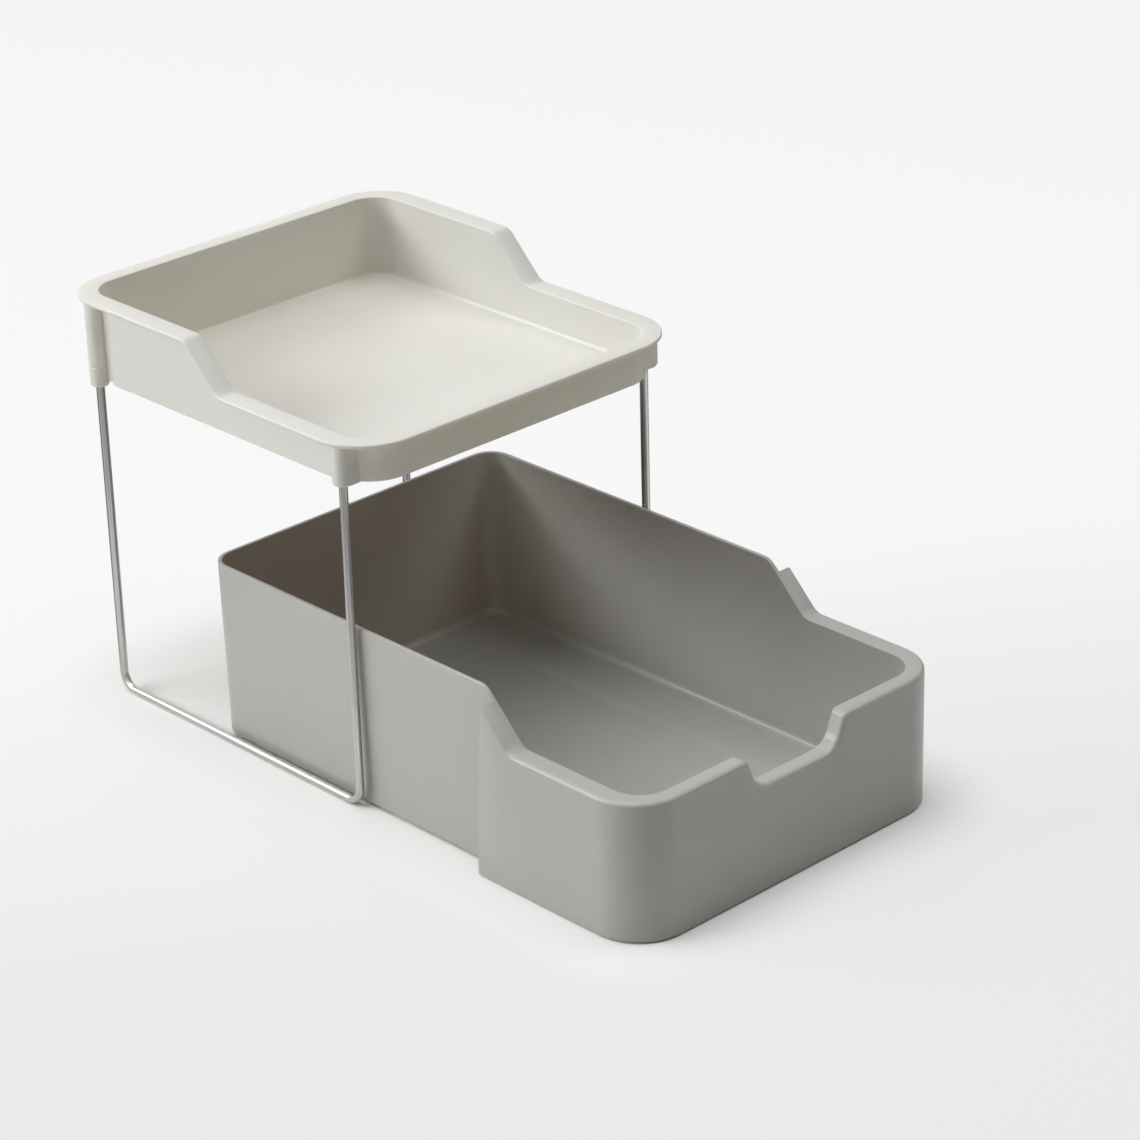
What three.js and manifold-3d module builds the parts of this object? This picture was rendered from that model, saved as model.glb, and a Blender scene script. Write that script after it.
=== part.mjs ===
// Two-tier storage organizer: a moulded tray on two bent wire legs, and a drawer that slides between them.
// Millimetres, +Z up. The drawer's front faces -Y, and the origin lies on the worktop, under the middle.
import * as THREE from 'three';
import { mergeVertices } from 'three/addons/utils/BufferGeometryUtils.js';
import Module from 'manifold-3d';

const wasm = await Module();
wasm.setup();

// Wire legs: two U-shaped rods, one on each side.
const wireDiameter = 4;
const legDepth = 174; // between the front and rear uprights
const wireBendRadius = 8; // on the centre line
const frontGrip = 13; // length of wire inside a front socket
const rearGrip = 30; // length of wire inside a rear socket

// Upper tray: a shallow basin with a flat rim that steps down to the front.
const trayWidth = 200;
const trayHeight = 204; // worktop to the rear rim
const rimSideOverhang = 1.5; // rim beyond the leg sockets
const rimFrontOverhang = 21.5; // rim beyond the front uprights
const rimRearOverhang = 17.7; // rim beyond the rear uprights
const rimStep = 21.6; // drop from the rear rim to the front rim
const rimStepPlace = 87; // middle of the slope, behind the front uprights
const rimSideWidth = 10.5;
const rimFrontWidth = 9.5;
const rimRearWidth = 8.4;
const rimThickness = 2;
const rimFrontRadius = 28;
const rimRearRadius = 24;
const basinFrontRadius = 16;
const basinRearRadius = 15;
const basinDepth = 40.3; // rear rim to the basin's floor
const basinDraft = 1.2; // how far each wall leans in on its way down, inside
const basinFillet = 5;
const trayWall = 2;
const trayFrontWall = 3.8;
const outsideFrontRadius = 21;
const outsideDraft = 0.4;
const outsideBottomRound = 1.5;

// Side skirts and leg sockets under the tray's rim.
const socketDiameter = 12;
const socketReach = 42.6; // rear rim to the sockets' lower ends
const socketEndRound = 2.6;
const socketBandHeight = 8.8; // groove round a rear socket, above its lower end
const socketBandDepth = 0.3;
const socketBandWidth = 0.8;
const skirtReach = 38.2; // rear rim to the side skirts' lower edges
const skirtSetback = 17; // skirt's rear end, in front of the rear uprights
const wireClearance = 0.35;

// Drawer: a deep thin-walled tub whose low front part has a second, outer wall.
const drawerLength = 290.4;
const drawerHeight = 90.2;
const drawerStep = 22.8; // drop from the tub's top edge to the front rim
const drawerStepPlace = 89.6; // middle of the slope, behind the drawer's front
const drawerRunningGap = 0.9; // tub to wire, on each side
const tubWall = 2;
const tubDraft = 1.1;
const tubRearRadius = 12;
const tubBottomRound = 2;
const tubFillet = 4;
const frontRimWidth = 8.2;
const frontRimThickness = 2;
const frontRimEdgeRadius = 3;
const tubFrontRadius = 17;

// Outer wall round the drawer's front.
const outerWallGap = 1.1; // wire to the outer wall's inside
const outerWall = 2;
const outerWallLength = 95.6; // from the front to the rear end, at the top
const outerWallLean = 4.8; // how much further back the rear end lies at the bottom
const outerWallLift = 0.8; // lower edge above the worktop
const outerCornerRadius = 25;
const outerEndChamfer = 1.2; // on the upright rear edges

// Finger scoop in the drawer's front rim.
const scoopWidth = 56; // between the middles of its two slopes
const scoopDepth = 15.6;
const scoopAngle = THREE.MathUtils.degToRad(60);
const scoopBend = 5;

// Drawer floor: the middle is pressed down into a shallow platform that the drawer slides on.
const floorThickness = 2.2;
const platformDepth = 1;
const platformInset = 28; // walls to the platform's upper edge
const platformSlope = 5.4;
const platformCornerRadius = 12;

// Slopes of both rims, and the soft edges of the mouldings.
const slopeAngle = THREE.MathUtils.degToRad(45);
const slopeBend = 8;
const edgeChamfer = 0.7;

// Travel of the drawer: shut against the front uprights, and drawn out as it rests here.
const shutGap = 0.7;
const restPull = 86.7;

// Fineness of the round stretches, and the smallest things that still count.
const cornerSteps = 9;
const bendSteps = 4;
const filletSteps = 3;
const legBendSteps = 6;
const wireSides = 12;
const boreSides = 24;
const socketSides = 32;
const smallestRadius = 0.5;
const weldDistance = 1e-4;

// Places that follow from the sizes.
const wireRadius = wireDiameter / 2;
const socketRadius = socketDiameter / 2;
const legX = trayWidth / 2 - rimSideOverhang - socketRadius;
const legY = legDepth / 2;
const frontRimHeight = trayHeight - rimStep;
const trayFloorHeight = trayHeight - basinDepth;
const trayUnderside = trayFloorHeight - trayWall;
const socketEnd = trayHeight - socketReach;
const skirtEnd = trayHeight - skirtReach;
const drawerShutFront = -legY - wireRadius - shutGap - outerWallLength;
const drawerFront = drawerShutFront - restPull;
const trayFront = -legY - rimFrontOverhang;
const trayRear = legY + rimRearOverhang;
const frontmost = Math.min(trayFront, drawerFront);
const rearmost = Math.max(trayRear, drawerFront + drawerLength);
const middleY = (frontmost + rearmost) / 2;

const cream = new THREE.MeshStandardMaterial({ color: 0xe4e2d6, roughness: 0.5, metalness: 0 });
const warmGrey = new THREE.MeshStandardMaterial({ color: 0xabaca6, roughness: 0.5, metalness: 0 });
const stainless = new THREE.MeshStandardMaterial({ color: 0xb9b7b2, roughness: 0.3, metalness: 1 });

// A height that changes from low to high along one direction, on a slope with a round bend at each end.
// at(v) is the height, and stations() lists the places that the two bends need.
function slopedStep({ low, high, place, angle, bend }) {
  const halfRun = (high - low) / 2 / Math.tan(angle);
  const tangent = bend * Math.tan(angle / 2);
  const crest = place + halfRun + tangent;
  const foot = place - halfRun - tangent;
  const crestEnd = crest - bend * Math.sin(angle);
  const footEnd = foot + bend * Math.sin(angle);
  function at(v) {
    if (v >= crest) return high;
    if (v <= foot) return low;
    if (v > crestEnd) return high - bend + Math.sqrt(bend ** 2 - (crest - v) ** 2);
    if (v < footEnd) return low + bend - Math.sqrt(bend ** 2 - (v - foot) ** 2);
    return (low + high) / 2 + (v - place) * Math.tan(angle);
  }
  function stations() {
    const places = [];
    for (let i = 0; i <= bendSteps; i += 1) {
      const turn = (angle * i) / bendSteps;
      places.push(foot + bend * Math.sin(turn), crest - bend * Math.sin(turn));
    }
    return places.sort((a, b) => a - b);
  }
  return { at, stations };
}

// A rounded rectangle in plan, symmetrical about X = 0.
function outline(halfWidth, front, rear, frontRadius, rearRadius = frontRadius) {
  return { halfWidth, front, rear, frontRadius, rearRadius };
}

// The same rounded rectangle with every side moved in by a distance, or out if it is negative.
function inset(shape, distance) {
  return outline(
    shape.halfWidth - distance,
    shape.front + distance,
    shape.rear - distance,
    Math.max(shape.frontRadius - distance, smallestRadius),
    Math.max(shape.rearRadius - distance, smallestRadius),
  );
}

// One round corner, as points from a start angle through a quarter turn, counter-clockwise.
function corner(x, y, radius, startAngle) {
  const points = [];
  for (let i = 0; i <= cornerSteps; i += 1) {
    const angle = startAngle + (Math.PI / 2) * (i / cornerSteps);
    points.push(new THREE.Vector2(x + radius * Math.cos(angle), y + radius * Math.sin(angle)));
  }
  return points;
}

// The plan points of a rounded rectangle, from its rear right corner round by the rear, left and front.
// Stations add points along the two sides and along the front.
function planPoints(shape, sideStations = [], frontStations = []) {
  const { halfWidth, front, rear, frontRadius, rearRadius } = shape;
  const rearRight = corner(halfWidth - rearRadius, rear - rearRadius, rearRadius, 0);
  const rearLeft = corner(-halfWidth + rearRadius, rear - rearRadius, rearRadius, Math.PI / 2);
  const frontLeft = corner(-halfWidth + frontRadius, front + frontRadius, frontRadius, Math.PI);
  const frontRight = corner(halfWidth - frontRadius, front + frontRadius, frontRadius, -Math.PI / 2);
  const leftSide = [...sideStations].reverse().map((y) => new THREE.Vector2(-halfWidth, y));
  const frontSide = frontStations.map((x) => new THREE.Vector2(x, front));
  const rightSide = sideStations.map((y) => new THREE.Vector2(halfWidth, y));
  return [...rearRight, ...rearLeft, ...leftSide, ...frontLeft, ...frontSide, ...frontRight, ...rightSide];
}

// Lifts plan points to a height, which is a number or a function of the point.
function ring(points, height) {
  return points.map((p) => new THREE.Vector3(p.x, p.y, typeof height === 'number' ? height : height(p)));
}

// The triangles of a wall through rows of equally many points, each row closed round.
function wallTriangles(rows) {
  const count = rows[0].length;
  const triangles = [];
  for (let r = 0; r + 1 < rows.length; r += 1) {
    for (let i = 0; i < count; i += 1) {
      const a = r * count + i;
      const b = r * count + ((i + 1) % count);
      triangles.push(a, b, b + count, a, b + count, a + count);
    }
  }
  return triangles;
}

// A solid from rows of points and the triangles between them.
function solidFromRows(rows, triangles) {
  const places = rows.flat().flatMap((p) => p.toArray());
  const geometry = new THREE.BufferGeometry();
  geometry.setAttribute('position', new THREE.Float32BufferAttribute(places, 3));
  geometry.setIndex(triangles);
  return solid(geometry);
}

// A closed solid through rings of points. The first and last rings are level and are filled.
function loft(rings) {
  const triangles = wallTriangles(rings);
  const last = (rings.length - 1) * rings[0].length;
  const plan = (points) => points.map((p) => new THREE.Vector2(p.x, p.y));
  const fill = (points) => THREE.ShapeUtils.triangulateShape(plan(points), []);
  for (const [a, b, c] of fill(rings[0])) triangles.push(a, c, b);
  for (const [a, b, c] of fill(rings.at(-1))) triangles.push(last + a, last + b, last + c);
  return solidFromRows(rings, triangles);
}

// A closed solid from one section carried along a path. The first and last sections are filled.
function sweep(sections) {
  const triangles = wallTriangles(sections);
  const last = (sections.length - 1) * sections[0].length;
  const face = sections[0].map((p) => new THREE.Vector2(p.x, p.z));
  const clockwise = THREE.ShapeUtils.isClockWise(face);
  for (const [a, b, c] of THREE.ShapeUtils.triangulateShape(face, [])) {
    const start = clockwise ? [a, b, c] : [a, c, b];
    triangles.push(...start, ...start.toReversed().map((i) => last + i));
  }
  return solidFromRows(sections, triangles);
}

// A closed geometry as a solid that can be joined and cut.
function solid(geometry) {
  geometry.deleteAttribute('normal');
  geometry.deleteAttribute('uv');
  const welded = mergeVertices(geometry, weldDistance);
  return new wasm.Manifold(new wasm.Mesh({
    numProp: 3,
    vertProperties: new Float32Array(welded.attributes.position.array),
    triVerts: new Uint32Array(welded.index.array),
  }));
}

function mesh(name, body, material) {
  const { vertProperties, triVerts } = body.getMesh();
  const geometry = new THREE.BufferGeometry();
  geometry.setAttribute('position', new THREE.BufferAttribute(vertProperties, 3));
  geometry.setIndex(new THREE.BufferAttribute(triVerts, 1));
  geometry.computeVertexNormals();
  const part = new THREE.Mesh(geometry, material);
  part.name = name;
  return part;
}

// A quarter-round in steps, as shares of its radius: across is how far in from the side, up is how far from
// the level face. It starts on the level face and ends on the side.
function quarterRound() {
  const steps = [];
  for (let i = 0; i <= filletSteps; i += 1) {
    const angle = (Math.PI / 2) * (i / filletSteps);
    steps.push({ across: 1 - Math.sin(angle), up: 1 - Math.cos(angle) });
  }
  return steps;
}

// Upper tray.

const trayRim = slopedStep({
  low: frontRimHeight,
  high: trayHeight,
  place: rimStepPlace - legY,
  angle: slopeAngle,
  bend: slopeBend,
});
const rimEdge = outline(trayWidth / 2, trayFront, trayRear, rimFrontRadius, rimRearRadius);
const basinMouth = outline(
  trayWidth / 2 - rimSideWidth,
  rimEdge.front + rimFrontWidth,
  rimEdge.rear - rimRearWidth,
  basinFrontRadius,
  basinRearRadius,
);
const basinOutside = outline(
  basinMouth.halfWidth + trayWall,
  basinMouth.front - trayFrontWall,
  basinMouth.rear + trayWall,
  outsideFrontRadius,
  basinRearRadius + trayWall,
);

// The basin and its rim in one skin: up the outside, over the rim and down the inside.
function trayShell() {
  const stations = trayRim.stations();
  const at = (shape, height) => ring(planPoints(shape, stations), height);
  const belowRim = (drop) => (p) => trayRim.at(p.y) - drop;
  const outerFoot = inset(basinOutside, outsideDraft);
  const innerFoot = inset(basinMouth, basinDraft);
  const bottomRound = quarterRound().map(({ across, up }) => (
    at(inset(outerFoot, outsideBottomRound * across), trayUnderside + outsideBottomRound * up)
  ));
  const fillet = quarterRound().toReversed().map(({ across, up }) => (
    at(inset(innerFoot, basinFillet * across), trayFloorHeight + basinFillet * up)
  ));
  return loft([
    ...bottomRound,
    at(basinOutside, belowRim(rimThickness)),
    at(inset(rimEdge, edgeChamfer), belowRim(rimThickness)),
    at(rimEdge, belowRim(rimThickness - edgeChamfer)),
    at(rimEdge, belowRim(edgeChamfer)),
    at(inset(rimEdge, edgeChamfer), belowRim(0)),
    at(inset(basinMouth, -edgeChamfer), belowRim(0)),
    at(basinMouth, belowRim(edgeChamfer)),
    ...fillet,
  ]);
}

// The space inside the basin, out to the middle of its wall, which the sockets must not enter.
function basinSpace() {
  const stations = trayRim.stations();
  const at = (shape, height) => ring(planPoints(shape, stations), height);
  return loft([
    at(inset(basinMouth, basinDraft - trayWall / 2), trayFloorHeight - trayWall / 2),
    at(inset(basinMouth, -trayWall / 2), trayHeight + trayWall),
  ]);
}

// One upright socket: a round boss from the tray's rim down, with a rounded end.
function socket(x, y, banded) {
  const top = trayRim.at(y) - rimThickness / 2;
  const band = socketEnd + socketBandHeight;
  const profile = [[0, socketEnd]];
  for (const { across, up } of quarterRound()) {
    profile.push([socketRadius - socketEndRound * across, socketEnd + socketEndRound * up]);
  }
  if (banded) {
    profile.push([socketRadius, band - socketBandWidth / 2]);
    profile.push([socketRadius - socketBandDepth, band]);
    profile.push([socketRadius, band + socketBandWidth / 2]);
  }
  profile.push([socketRadius, top], [0, top]);
  return turned(profile, x, y, socketSides);
}

// A profile of (radius, height) pairs turned round an upright axis.
function turned(profile, x, y, sides) {
  const geometry = new THREE.LatheGeometry(profile.map(([r, z]) => new THREE.Vector2(r, z)), sides);
  geometry.rotateX(Math.PI / 2);
  geometry.translate(x, y, 0);
  return solid(geometry);
}

// The hole that takes the end of a wire.
function bore(x, y, grip) {
  const radius = wireRadius + wireClearance;
  const mouth = socketEnd - wireClearance;
  const top = socketEnd + grip + wireClearance;
  return turned([[0, mouth], [radius, mouth], [radius, top], [0, top]], x, y, boreSides);
}

// A plate standing along Y between two places across the tray, from a level foot up into the rim.
function uprightPlate(fromX, toX, fromY, toY, foot) {
  const head = (y) => trayRim.at(y) - rimThickness / 2;
  const crown = trayRim.stations().filter((y) => y > fromY && y < toY);
  const points = [new THREE.Vector2(fromY, foot), new THREE.Vector2(toY, foot)];
  for (const y of [toY, ...crown.toReversed(), fromY]) points.push(new THREE.Vector2(y, head(y)));
  const depth = toX - fromX;
  const geometry = new THREE.ExtrudeGeometry(new THREE.Shape(points), { depth, bevelEnabled: false });
  geometry.rotateX(Math.PI / 2);
  geometry.rotateZ(Math.PI / 2);
  geometry.translate(fromX, 0, 0);
  return solid(geometry);
}

// A side skirt: a panel flush with the sockets, turned in to the basin at its rear end, and a short web that
// carries the front socket's face across to the basin.
function sideSkirt(side) {
  const outer = legX + socketRadius;
  const rear = legY - skirtSetback;
  const span = (near, far) => (side > 0 ? [near, far] : [-far, -near]);
  const panel = uprightPlate(...span(outer - trayWall, outer), -legY, rear, skirtEnd);
  const web = uprightPlate(...span(basinMouth.halfWidth, outer), rear - trayWall, rear, skirtEnd);
  const face = -legY - socketRadius;
  const inBasin = basinMouth.halfWidth - 2 * trayWall;
  const frontWeb = uprightPlate(...span(inBasin, legX), face, face + trayWall, socketEnd);
  return panel.add(web).add(frontWeb);
}

function buildTray() {
  let fittings = sideSkirt(1).add(sideSkirt(-1));
  for (const x of [-legX, legX]) {
    fittings = fittings.add(socket(x, -legY, false)).add(socket(x, legY, true));
  }
  let tray = trayShell().add(fittings.subtract(basinSpace()));
  for (const x of [-legX, legX]) {
    tray = tray.subtract(bore(x, -legY, frontGrip)).subtract(bore(x, legY, rearGrip));
  }
  return mesh('upper_tray', tray, cream);
}

// Wire legs.

// The centre line of a leg: down the rear upright, along the worktop and up the front one.
class LegLine extends THREE.Curve {
  constructor() {
    super();
    const bendHeight = wireRadius + wireBendRadius;
    const bendPoints = (bendY, startAngle) => {
      const points = [];
      for (let i = 0; i <= legBendSteps; i += 1) {
        const angle = startAngle - (Math.PI / 2) * (i / legBendSteps);
        const y = bendY + wireBendRadius * Math.cos(angle);
        const z = bendHeight + wireBendRadius * Math.sin(angle);
        points.push(new THREE.Vector3(0, y, z));
      }
      return points;
    };
    this.points = [
      new THREE.Vector3(0, legY, socketEnd + rearGrip),
      ...bendPoints(legY - wireBendRadius, 0),
      ...bendPoints(-legY + wireBendRadius, -Math.PI / 2),
      new THREE.Vector3(0, -legY, socketEnd + frontGrip),
    ];
  }

  // Each part of t from one point to the next is equally long, so that a sweep stops at every point.
  getPoint(t) {
    const place = Math.min(Math.max(t, 0), 1) * (this.points.length - 1);
    const start = Math.min(Math.floor(place), this.points.length - 2);
    return new THREE.Vector3().lerpVectors(this.points[start], this.points[start + 1], place - start);
  }

  getPointAt(u) {
    return this.getPoint(u);
  }

  getTangentAt(u) {
    return this.getTangent(u);
  }
}

function buildLeg(name, x) {
  const line = new LegLine();
  const section = new THREE.Shape();
  section.absarc(0, 0, wireRadius, 0, Math.PI * 2);
  const geometry = new THREE.ExtrudeGeometry(section, {
    steps: line.points.length - 1,
    curveSegments: wireSides / 2,
    extrudePath: line,
    bevelEnabled: false,
  });
  const leg = mesh(name, solid(geometry), stainless);
  leg.position.x = x;
  return leg;
}

// Drawer, with Y measured from its front.

const drawerRim = slopedStep({
  low: drawerHeight - drawerStep,
  high: drawerHeight,
  place: drawerStepPlace,
  angle: slopeAngle,
  bend: slopeBend,
});
const scoop = slopedStep({
  low: -scoopDepth,
  high: 0,
  place: scoopWidth / 2,
  angle: scoopAngle,
  bend: scoopBend,
});
const tubEdge = outline(
  legX - wireRadius - drawerRunningGap,
  frontRimWidth - tubWall,
  drawerLength,
  tubFrontRadius,
  tubRearRadius,
);
const outerEdge = outline(legX + wireRadius + outerWallGap + outerWall, 0, drawerLength, outerCornerRadius);
const ledgeUnderside = platformDepth;
const ledgeHeight = ledgeUnderside + floorThickness;

// The rim's height over a plan point, with the scoop in the front.
function drawerTop(p) {
  const inFront = p.y < frontRimWidth + edgeChamfer;
  return drawerRim.at(p.y) + (inFront ? scoop.at(Math.abs(p.x)) : 0);
}

function scoopStations() {
  const right = scoop.stations();
  return [...right.toReversed().map((x) => -x), ...right];
}

// The tub in one skin: up the outside, over the thin top edge and down the inside.
function tubShell() {
  const at = (shape, height) => ring(planPoints(shape, drawerRim.stations(), scoopStations()), height);
  const belowTop = (drop) => (p) => drawerTop(p) - drop;
  const mouth = inset(tubEdge, tubWall);
  const outerFoot = inset(tubEdge, tubDraft);
  const innerFoot = inset(mouth, tubDraft);
  const bottomRound = quarterRound().map(({ across, up }) => (
    at(inset(outerFoot, tubBottomRound * across), ledgeUnderside + tubBottomRound * up)
  ));
  const fillet = quarterRound().toReversed().map(({ across, up }) => (
    at(inset(innerFoot, tubFillet * across), ledgeHeight + tubFillet * up)
  ));
  return loft([
    ...bottomRound,
    at(tubEdge, belowTop(edgeChamfer)),
    at(inset(tubEdge, edgeChamfer), belowTop(0)),
    at(inset(mouth, -edgeChamfer), belowTop(0)),
    at(mouth, belowTop(edgeChamfer)),
    ...fillet,
  ]);
}

// The middle of the floor, as a shallow dished block between two heights.
function platform(bottom, top, above) {
  const upper = inset(tubEdge, tubWall + platformInset);
  upper.frontRadius = platformCornerRadius;
  upper.rearRadius = platformCornerRadius;
  const lower = inset(upper, platformSlope);
  return loft([
    ring(planPoints(lower), bottom),
    ring(planPoints(upper), top),
    ring(planPoints(upper), above),
  ]);
}

// The plan points of the outer wall's path: from its left rear end round the front to its right rear end.
// The ends can lie further in than the rest, to chamfer the wall's rear edges.
function frontPath(shape, endInset) {
  const chamferStart = outerWallLength - outerEndChamfer;
  const stations = [...drawerRim.stations().filter((y) => y < chamferStart), chamferStart];
  const rearCorners = 2 * (cornerSteps + 1);
  const around = planPoints(shape, stations, scoopStations()).slice(rearCorners);
  const endX = shape.halfWidth - endInset;
  const leftEnd = new THREE.Vector2(-endX, outerWallLength);
  const rightEnd = new THREE.Vector2(endX, outerWallLength);
  return [leftEnd, ...around, rightEnd];
}

// The flat front rim and the outer wall that hangs from it, as one section carried round the front.
function outerWallShell() {
  const inRim = inset(tubEdge, tubWall / 2);
  const inside = inset(outerEdge, outerWall);
  const outerRow = (shape, height) => ring(frontPath(shape, outerEndChamfer), height);
  const innerRow = (shape, height) => ring(frontPath(shape, 0), height);
  const belowTop = (drop) => (p) => drawerTop(p) - drop;
  const softEdge = quarterRound().map(({ across, up }) => (
    outerRow(inset(outerEdge, frontRimEdgeRadius * across), belowTop(frontRimEdgeRadius * up))
  ));
  const rows = [
    innerRow(inRim, belowTop(0)),
    ...softEdge,
    outerRow(outerEdge, outerWallLift),
    innerRow(inside, outerWallLift),
    innerRow(inside, belowTop(frontRimThickness)),
    innerRow(inRim, belowTop(frontRimThickness)),
  ];
  const sections = rows[0].map((_, i) => rows.map((points) => points[i]));
  const endHeight = drawerRim.at(outerWallLength);
  const ends = [...sections.slice(0, 2), ...sections.slice(-2)];
  for (const p of ends.flat()) p.y += outerWallLean * (1 - p.z / endHeight);
  return sweep(sections);
}

function buildDrawer() {
  const dish = platform(ledgeHeight - platformDepth, ledgeHeight, ledgeHeight + floorThickness);
  const foot = platform(0, platformDepth, platformDepth + floorThickness / 2);
  const body = tubShell().add(outerWallShell()).subtract(dish).add(foot.subtract(dish));
  const drawer = mesh('drawer', body, warmGrey);
  drawer.position.y = drawerFront;
  return drawer;
}

// The whole organizer, with the origin on the worktop under the middle of its outline.
const organizer = new THREE.Group();
organizer.add(buildTray(), buildLeg('left_leg', -legX), buildLeg('right_leg', legX), buildDrawer());
organizer.position.y = -middleY;

export default organizer;
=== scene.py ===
import math

import bmesh
import bpy
from mathutils import Matrix, Vector


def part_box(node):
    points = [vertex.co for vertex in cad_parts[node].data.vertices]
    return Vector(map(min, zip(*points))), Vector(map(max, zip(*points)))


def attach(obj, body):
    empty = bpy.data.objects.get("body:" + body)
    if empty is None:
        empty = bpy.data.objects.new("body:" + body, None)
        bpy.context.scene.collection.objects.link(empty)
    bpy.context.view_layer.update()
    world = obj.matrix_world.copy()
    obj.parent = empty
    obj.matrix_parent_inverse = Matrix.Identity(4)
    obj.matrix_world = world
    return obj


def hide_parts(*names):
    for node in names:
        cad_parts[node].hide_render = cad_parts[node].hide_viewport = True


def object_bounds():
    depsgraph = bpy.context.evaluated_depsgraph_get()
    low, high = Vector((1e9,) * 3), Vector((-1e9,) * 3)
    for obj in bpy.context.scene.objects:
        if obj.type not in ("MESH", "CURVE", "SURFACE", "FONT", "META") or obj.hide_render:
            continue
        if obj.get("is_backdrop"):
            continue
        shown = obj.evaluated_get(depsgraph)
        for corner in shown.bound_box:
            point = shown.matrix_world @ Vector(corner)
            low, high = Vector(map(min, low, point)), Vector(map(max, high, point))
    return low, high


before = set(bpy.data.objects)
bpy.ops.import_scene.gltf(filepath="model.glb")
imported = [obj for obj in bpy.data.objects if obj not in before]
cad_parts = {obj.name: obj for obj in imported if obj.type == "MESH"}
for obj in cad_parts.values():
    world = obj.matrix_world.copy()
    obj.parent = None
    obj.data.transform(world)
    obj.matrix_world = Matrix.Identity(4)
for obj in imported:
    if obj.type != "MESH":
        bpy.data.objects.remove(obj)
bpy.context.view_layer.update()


# Upper tray, the basin: the shallow dish of one cream polypropylene moulding, with a flat rim that steps
# down to the front on a 45 degree slope. Its skin is drawn as outlines from the underside up the outside,
# over the rim and down to the floor, which are bridged and then rounded where the mould is.
mm = 0.001
same_place = 0.001 * mm
corner_steps = 16
rim_depth = 6 * mm  # a rim and its rounds lie within this distance of its top
side_zone = 80 * mm  # what lies further out than this belongs to a side
sharp_from = math.radians(32)  # edges that turn by more than this are shaded sharp


def pick(kind, test):
    """Selects only the vertices, edges or faces in edit mode whose middle and direction pass a test."""
    bpy.ops.mesh.select_mode(type=kind)
    bpy.ops.mesh.select_all(action="DESELECT")
    work = bmesh.from_edit_mesh(bpy.context.edit_object.data)
    work.normal_update()
    for item in {"VERT": work.verts, "EDGE": work.edges, "FACE": work.faces}[kind]:
        corners = [item.co] if kind == "VERT" else [v.co for v in item.verts]
        middle = sum(corners, Vector()) / len(corners)
        direction = (corners[1] - corners[0]).normalized() if kind == "EDGE" else item.normal
        if not item.hide and test(middle, direction):
            item.select_set(True)
    work.select_flush_mode()
    bmesh.update_edit_mesh(bpy.context.edit_object.data)


def pick_open_edge():
    """Selects the edges that still want a face on one side or both."""
    bpy.ops.mesh.select_mode(type="EDGE")
    bpy.ops.mesh.select_all(action="DESELECT")
    bpy.ops.mesh.select_non_manifold()


def outline(half_width, front, rear, front_round, rear_round, height):
    """Draws one level outline with round corners, as a face."""
    middle = (0, (front + rear) / 2, height)
    bpy.ops.mesh.primitive_plane_add(size=2, enter_editmode=True)
    bpy.ops.transform.translate(value=middle)
    bpy.ops.transform.resize(value=(half_width, (rear - front) / 2, 1), center_override=middle)
    for end, radius in ((front, front_round), (rear, rear_round)):
        pick("VERT", lambda c, n: abs(c.y - end) < same_place)
        bpy.ops.mesh.bevel(offset=radius, segments=corner_steps, affect="VERTICES")


def moved_in(shape, inset):
    """An outline's half width, front, rear and corner rounds, with every side moved in by a distance."""
    half_width, front, rear, front_round, rear_round = shape
    return half_width - inset, front + inset, rear - inset, front_round - inset, rear_round - inset


def skin(name, outlines, largest_round, round_steps):
    """Bridges outlines one after the other and rounds the edge along each by its last value.

    Each outline is bridged well above the one before it and then let down to its own height, so that two
    outlines at the same height join corner to corner as well."""
    bpy.ops.object.select_all(action="DESELECT")
    well_above = 100 * mm
    for number, (*shape, height, edge_round) in enumerate(outlines):
        if number:
            bpy.ops.mesh.select_all(action="SELECT")
            bpy.ops.mesh.hide()
            outline(*shape, last_height + well_above)
            pick("FACE", lambda c, n: True)
            bpy.ops.mesh.delete(type="ONLY_FACE")
            bpy.ops.mesh.reveal(select=False)
            pick_open_edge()
            bpy.ops.mesh.bridge_edge_loops()
            pick_open_edge()
            bpy.ops.transform.translate(value=(0, 0, height - last_height - well_above))
        else:
            outline(*shape, height)
            pick_open_edge()
        bpy.ops.transform.edge_bevelweight(value=edge_round / largest_round)
        last_height = height
    pick_open_edge()
    bpy.ops.mesh.edge_face_add()
    bpy.ops.mesh.select_all(action="SELECT")
    bpy.ops.mesh.normals_make_consistent(inside=False)
    bpy.ops.object.mode_set(mode="OBJECT")
    piece = bpy.context.active_object
    piece.name = name
    bpy.ops.object.modifier_add(type="BEVEL")
    piece.modifiers["Bevel"].limit_method = "WEIGHT"
    piece.modifiers["Bevel"].width = largest_round
    piece.modifiers["Bevel"].segments = round_steps
    piece.modifiers["Bevel"].use_clamp_overlap = False
    bpy.ops.object.modifier_apply(modifier="Bevel")
    return piece


def slope_stations(middle, drop, angle, foot_bend, crest_bend, steps):
    """Where a rim bends on its way down a slope, foot first: (place, its drop there, its slope there)."""
    half = drop / 2 / math.tan(angle)
    foot_start = middle - half - foot_bend * math.tan(angle / 2)
    crest_end = middle + half + crest_bend * math.tan(angle / 2)
    turns = [angle * i / steps for i in range(steps + 1)]
    foot = [(foot_start + foot_bend * math.sin(t), drop - foot_bend * (1 - math.cos(t)), t) for t in turns]
    crest = [(crest_end - crest_bend * math.sin(t), crest_bend * (1 - math.cos(t)), t) for t in turns]
    return foot + crest[::-1]


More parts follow.
